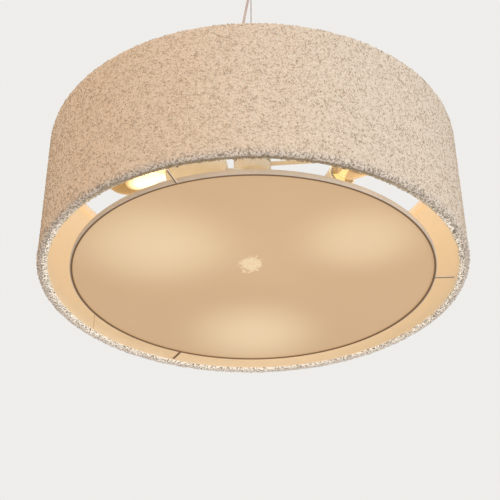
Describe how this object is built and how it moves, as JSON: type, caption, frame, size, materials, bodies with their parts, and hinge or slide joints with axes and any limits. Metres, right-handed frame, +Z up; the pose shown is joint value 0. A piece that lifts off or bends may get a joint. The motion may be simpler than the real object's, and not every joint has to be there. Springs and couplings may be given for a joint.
{
  "type": "pendant lamp",
  "caption": "Drum pendant lamp: looped wool shade with pale lining, opal diffuser disc, clear bulbs in a pinwheel of slim lampholders, on a steel cable",
  "frame": {"origin": "centre of the ceiling bracket's upper face, where the lamp meets the ceiling", "axes": "+Z up into the ceiling along the cable, +X to the right and +Y away from the viewer of the picture"},
  "size_m": [0.447, 0.447, 0.5],
  "materials": {
    "cream_paint": "satin",
    "steel": "satin",
    "brass": "satin",
    "nylon": "matte",
    "ceramic": "matte",
    "flex_jacket": "gloss",
    "looped_wool": "matte",
    "lining": "matte",
    "opal": "matte",
    "clear_glass": "gloss",
    "filament": "gloss"
  },
  "bodies": {
    "canopy": {"ceiling_bracket": "steel", "canopy_cup": "cream_paint", "canopy_screw_1": "steel", "canopy_screw_2": "steel", "terminal_block": "ceramic", "canopy_gland": "nylon", "ball_seat": "nylon"},
    "swivel": {"swivel_cap": "nylon"},
    "lamp": {"gripper_body": "brass", "gripper_spring": "steel", "steel_cable": "steel", "cable_stop": "steel", "flex_cord": "flex_jacket", "cable_clip": "nylon", "hub_cup": "cream_paint", "hub_cap": "cream_paint", "hub_stem": "steel", "hub_nut": "steel", "hub_finial": "cream_paint", "hub_grommet": "nylon", "hub_connector": "ceramic", "arm_1": "cream_paint", "arm_2": "cream_paint", "arm_3": "cream_paint", "arm_nut_1": "steel", "arm_nut_2": "steel", "arm_nut_3": "steel", "holder_nut_1": "steel", "holder_nut_2": "steel", "holder_nut_3": "steel", "holder_sleeve_1": "cream_paint", "holder_sleeve_2": "cream_paint", "holder_sleeve_3": "cream_paint", "holder_insert_1": "brass", "holder_insert_2": "brass", "holder_insert_3": "brass", "shade_spider": "cream_paint", "shade_bottom_ring": "cream_paint", "shade_lining": "lining", "shade_fabric": "looped_wool"},
    "plunger": {"gripper_plunger": "brass"},
    "diffuser": {"diffuser_rim": "cream_paint", "diffuser_sheet": "opal"},
    "bulb_1": {"bulb_cap_1": "steel", "bulb_glass_1": "clear_glass", "bulb_filament_1": "filament"},
    "bulb_2": {"bulb_cap_2": "steel", "bulb_glass_2": "clear_glass", "bulb_filament_2": "filament"},
    "bulb_3": {"bulb_cap_3": "steel", "bulb_glass_3": "clear_glass", "bulb_filament_3": "filament"}
  },
  "joints": [
    {"name": "swing_sideways", "type": "hinge", "parent": "canopy", "child": "swivel", "pos_m": [0, 0, -0.023], "axis": [0, 1, 0], "range_deg": [-8, 8], "deforming": ["flex_cord"]},
    {"name": "swing_forwards", "type": "hinge", "parent": "swivel", "child": "lamp", "pos_m": [0, 0, -0.023], "axis": [1, 0, 0], "range_deg": [-8, 8], "deforming": ["flex_cord"]},
    {"name": "plunger_press", "type": "slide", "parent": "lamp", "child": "plunger", "axis": [0, 0, 1], "range_m": [0, 0.0025], "stiffness_N_per_m": 400, "springref_m": -0.002, "deforming": ["gripper_spring"]},
    {"name": "diffuser_lift", "type": "slide", "parent": "lamp", "child": "diffuser", "axis": [0, 0, 1], "range_m": [0, 0.03]},
    {"name": "bulb_1_release", "type": "slide", "parent": "lamp", "child": "bulb_1", "axis": [-0.9859, 0.0932, 0.1392], "range_m": [0, 0.03]},
    {"name": "bulb_2_release", "type": "slide", "parent": "lamp", "child": "bulb_2", "axis": [0.4122, -0.9004, 0.1392], "range_m": [0, 0.03]},
    {"name": "bulb_3_release", "type": "slide", "parent": "lamp", "child": "bulb_3", "axis": [0.5736, 0.8072, 0.1392], "range_m": [0, 0.03]}
  ]
}
